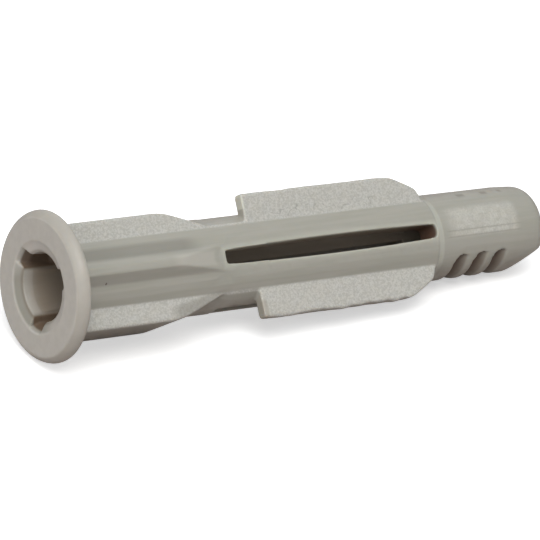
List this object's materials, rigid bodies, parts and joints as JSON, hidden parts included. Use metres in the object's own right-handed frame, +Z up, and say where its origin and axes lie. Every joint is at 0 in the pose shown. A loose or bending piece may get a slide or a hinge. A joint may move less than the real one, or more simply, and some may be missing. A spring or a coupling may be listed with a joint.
{
  "type": "wall plug",
  "caption": "Moulded plastic universal wall plug with a flat collar, anti-rotation fins and ribs, slotted expanding legs, locking wings and a blunt tip.",
  "frame": {"origin": "centre of the collar's flat face, on the plug's axis", "axes": "+X runs from the collar towards the tip, along the table; +Z is up. The plug lies as it comes to rest on its collar and its tip, so its axis dips 3.36 degrees below +X. Its wings stop it from rolling right round."},
  "size_m": [0.0503, 0.0126, 0.0127],
  "materials": {
    "grey_plastic": "warm light grey moulded nylon, finely spark-eroded, smoother on the shaft"
  },
  "bodies": {
    "root": {"wall_plug": "grey_plastic"}
  },
  "joints": []
}
